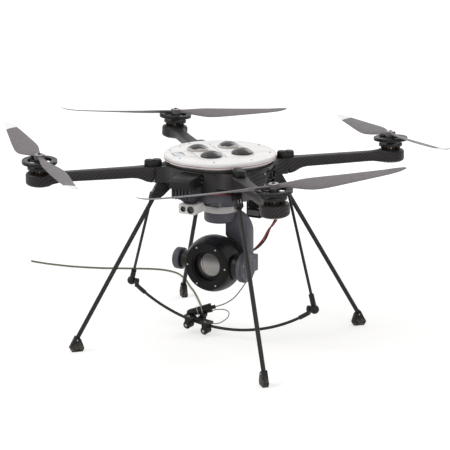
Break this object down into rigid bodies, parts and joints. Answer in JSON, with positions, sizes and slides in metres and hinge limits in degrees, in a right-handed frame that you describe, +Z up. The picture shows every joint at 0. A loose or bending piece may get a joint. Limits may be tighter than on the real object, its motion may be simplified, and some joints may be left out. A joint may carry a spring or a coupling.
{
  "type": "tethered camera quadcopter",
  "caption": "Folding quadcopter on tall splayed legs with a gimballed camera ball, a swinging tether bow with a running trolley, and a trailing tether line",
  "frame": {"origin": "on the ground, on the hub axis, midway between the four feet", "axes": "+Z up, the nose with the front module faces -Y, +X is the aircraft's left"},
  "size_m": [1.2067, 0.9274, 0.4576],
  "materials": {
    "carbon": "woven carbon laminate, satin",
    "black_plastic": "moulded, fine satin texture",
    "white_shell": "moulded, smooth, low gloss",
    "red_seal": "smooth gasket rubber",
    "screen": "clear window over a pale display",
    "dome": "polished",
    "slate_shell": "satin anodised slate",
    "pale_housing": "satin light grey",
    "circuit": "solder mask",
    "cell_wrap": "shrink wrap",
    "optic": "coated glass",
    "rubber": "matt",
    "steel": "machined",
    "prop_plastic": "satin moulded composite",
    "motor_black": "satin anodised black",
    "bezel": "satin anodised dark violet-grey",
    "olive_cord": "braided sleeve",
    "grey_cord": "smooth cable jacket",
    "red_wire": "silicone insulation"
  },
  "bodies": {
    "hub": {"chassis": "carbon", "top_cover": "white_shell", "cover_seal": "red_seal", "display_window": "screen", "antenna_domes": "dome", "lower_hull": "slate_shell", "hull_seal": "red_seal", "flight_board": "circuit", "battery_pack": "cell_wrap", "front_module": "black_plastic", "power_module": "black_plastic", "cable_loom": "black_plastic", "rangefinder_housing": "pale_housing", "rangefinder_lenses": "optic", "leg_brackets": "black_plastic", "legs": "carbon", "feet": "rubber", "bow_struts": "carbon", "strut_knuckles": "black_plastic", "frame_screws": "steel", "gimbal_plate": "pale_housing", "vibration_dampers": "rubber", "hinge_pins": "steel", "power_lead": "red_wire", "tether_lead": "grey_cord", "tether_line": "olive_cord"},
    "arm_body_front_left": {"arm_front_left": "carbon", "stator_front_left": "steel"},
    "rotor_front_left": {"bell_front_left": "motor_black", "prop_front_left": "prop_plastic"},
    "latch_body_front_left": {"latch_front_left": "black_plastic"},
    "arm_body_front_right": {"arm_front_right": "carbon", "stator_front_right": "steel"},
    "rotor_front_right": {"bell_front_right": "motor_black", "prop_front_right": "prop_plastic"},
    "latch_body_front_right": {"latch_front_right": "black_plastic"},
    "arm_body_rear_left": {"arm_rear_left": "carbon", "stator_rear_left": "steel"},
    "rotor_rear_left": {"bell_rear_left": "motor_black", "prop_rear_left": "prop_plastic"},
    "latch_body_rear_left": {"latch_rear_left": "black_plastic"},
    "arm_body_rear_right": {"arm_rear_right": "carbon", "stator_rear_right": "steel"},
    "rotor_rear_right": {"bell_rear_right": "motor_black", "prop_rear_right": "prop_plastic"},
    "latch_body_rear_right": {"latch_rear_right": "black_plastic"},
    "gimbal": {"gimbal_yoke": "slate_shell", "tilt_housing": "slate_shell"},
    "camera": {"camera_ball": "motor_black", "lens_bezel": "bezel", "lens": "optic", "bezel_screws": "steel", "tilt_cap": "slate_shell"},
    "bow": {"bow_rod": "carbon"},
    "trolley": {"trolley_frame": "black_plastic", "tether_clamp": "black_plastic", "trolley_loop": "grey_cord"},
    "roller_left_body": {"roller_left": "rubber"},
    "roller_right_body": {"roller_right": "rubber"}
  },
  "joints": [
    {"name": "arm_fold_front_left", "type": "hinge", "parent": "hub", "child": "arm_body_front_left", "pos_m": [0.10479, -0.10479, 0.37], "axis": [0.7071, 0.7071, 0], "range_deg": [0, 60]},
    {"name": "arm_fold_front_right", "type": "hinge", "parent": "hub", "child": "arm_body_front_right", "pos_m": [-0.10479, -0.10479, 0.37], "axis": [0.7071, -0.7071, 0], "range_deg": [0, 60]},
    {"name": "arm_fold_rear_left", "type": "hinge", "parent": "hub", "child": "arm_body_rear_left", "pos_m": [0.10479, 0.10479, 0.37], "axis": [-0.7071, 0.7071, 0], "range_deg": [0, 60]},
    {"name": "arm_fold_rear_right", "type": "hinge", "parent": "hub", "child": "arm_body_rear_right", "pos_m": [-0.10479, 0.10479, 0.37], "axis": [-0.7071, -0.7071, 0], "range_deg": [0, 60]},
    {"name": "rotor_spin_front_left", "type": "hinge", "parent": "arm_body_front_left", "child": "rotor_front_left", "pos_m": [0.27719, -0.27719, 0.389], "axis": [-0.037, -0.037, 0.9986], "continuous": true},
    {"name": "rotor_spin_front_right", "type": "hinge", "parent": "arm_body_front_right", "child": "rotor_front_right", "pos_m": [-0.27719, -0.27719, 0.389], "axis": [0.037, -0.037, 0.9986], "continuous": true},
    {"name": "rotor_spin_rear_left", "type": "hinge", "parent": "arm_body_rear_left", "child": "rotor_rear_left", "pos_m": [0.27719, 0.27719, 0.389], "axis": [-0.037, 0.037, 0.9986], "continuous": true},
    {"name": "rotor_spin_rear_right", "type": "hinge", "parent": "arm_body_rear_right", "child": "rotor_rear_right", "pos_m": [-0.27719, 0.27719, 0.389], "axis": [0.037, 0.037, 0.9986], "continuous": true},
    {"name": "latch_slide_front_left", "type": "slide", "parent": "hub", "child": "latch_body_front_left", "axis": [-0.7071, 0.7071, 0], "range_m": [0, 0.006], "stiffness_N_per_m": 400},
    {"name": "latch_slide_front_right", "type": "slide", "parent": "hub", "child": "latch_body_front_right", "axis": [0.7071, 0.7071, 0], "range_m": [0, 0.006], "stiffness_N_per_m": 400},
    {"name": "latch_slide_rear_left", "type": "slide", "parent": "hub", "child": "latch_body_rear_left", "axis": [-0.7071, -0.7071, 0], "range_m": [0, 0.006], "stiffness_N_per_m": 400},
    {"name": "latch_slide_rear_right", "type": "slide", "parent": "hub", "child": "latch_body_rear_right", "axis": [0.7071, -0.7071, 0], "range_m": [0, 0.006], "stiffness_N_per_m": 400},
    {"name": "gimbal_yaw", "type": "hinge", "parent": "hub", "child": "gimbal", "pos_m": [0, 0, 0.28], "axis": [0, 0, 1], "range_deg": [-150, 150]},
    {"name": "camera_tilt", "type": "hinge", "parent": "gimbal", "child": "camera", "pos_m": [0, -0.028, 0.179], "axis": [1, 0, 0], "range_deg": [-30, 90]},
    {"name": "bow_swing", "type": "hinge", "parent": "hub", "child": "bow", "pos_m": [0, 0, 0.10003], "axis": [1, 0, 0], "range_deg": [-60, 60], "deforming": ["tether_line", "tether_lead"]},
    {"name": "trolley_travel", "type": "hinge", "parent": "bow", "child": "trolley", "pos_m": [0, 0, 0.4], "axis": [0, 1, 0], "range_deg": [-34, 16.5], "deforming": ["tether_line", "tether_lead"]},
    {"name": "roller_spin_left", "type": "hinge", "parent": "trolley", "child": "roller_left_body", "pos_m": [-0.08165, 0, 0.01915], "axis": [0, 1, 0], "range_deg": [-1640, 800]},
    {"name": "roller_spin_right", "type": "hinge", "parent": "trolley", "child": "roller_right_body", "pos_m": [-0.03733, 0, 0.01229], "axis": [0, 1, 0], "range_deg": [-1640, 800]}
  ],
  "couplings": [
    {"joint": "roller_spin_left", "follows": "trolley_travel", "ratio": 47.65},
    {"joint": "roller_spin_right", "follows": "trolley_travel", "ratio": 47.65}
  ]
}
